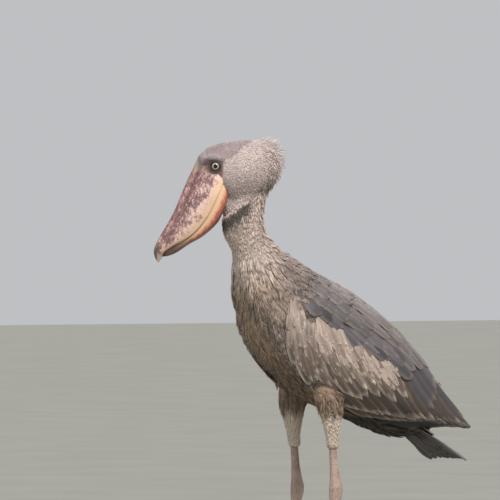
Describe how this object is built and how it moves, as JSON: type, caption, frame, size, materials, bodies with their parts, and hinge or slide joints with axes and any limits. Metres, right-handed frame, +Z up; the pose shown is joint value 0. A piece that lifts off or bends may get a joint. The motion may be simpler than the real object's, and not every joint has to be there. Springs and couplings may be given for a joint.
{
  "type": "shoebill",
  "caption": "Life-size shoebill standing on both feet, head turned to its right and its deep hooked bill lowered.",
  "frame": {"origin": "on the floor, under the middle of the bird's outline", "axes": "+Z up, the bird faces -Y and its left side is +X"},
  "size_m": [0.3208, 0.6658, 0.9398],
  "materials": {
    "pale_plumage": "matt, fine feathers",
    "plumage": "matt feathers",
    "slate_plumage": "matt feathers with a faint sheen",
    "bill": "horn, half gloss",
    "eye": "wet gloss",
    "leg_skin": "scaled skin",
    "claw": "horn, half gloss"
  },
  "bodies": {
    "root": {"bill_lower": "bill", "bill_upper": "bill", "claw_left_hallux": "claw", "claw_left_inner": "claw", "claw_left_middle": "claw", "claw_left_outer": "claw", "claw_right_hallux": "claw", "claw_right_inner": "claw", "claw_right_middle": "claw", "claw_right_outer": "claw", "eye_left": "eye", "eye_right": "eye", "head": "pale_plumage", "neck": "pale_plumage", "shank_left": "leg_skin", "shank_right": "leg_skin", "tail": "slate_plumage", "thigh_left": "plumage", "thigh_right": "plumage", "toe_left_hallux": "leg_skin", "toe_left_inner": "leg_skin", "toe_left_middle": "leg_skin", "toe_left_outer": "leg_skin", "toe_right_hallux": "leg_skin", "toe_right_inner": "leg_skin", "toe_right_middle": "leg_skin", "toe_right_outer": "leg_skin", "torso": "plumage", "wing_left": "slate_plumage", "wing_right": "slate_plumage"}
  },
  "joints": []
}
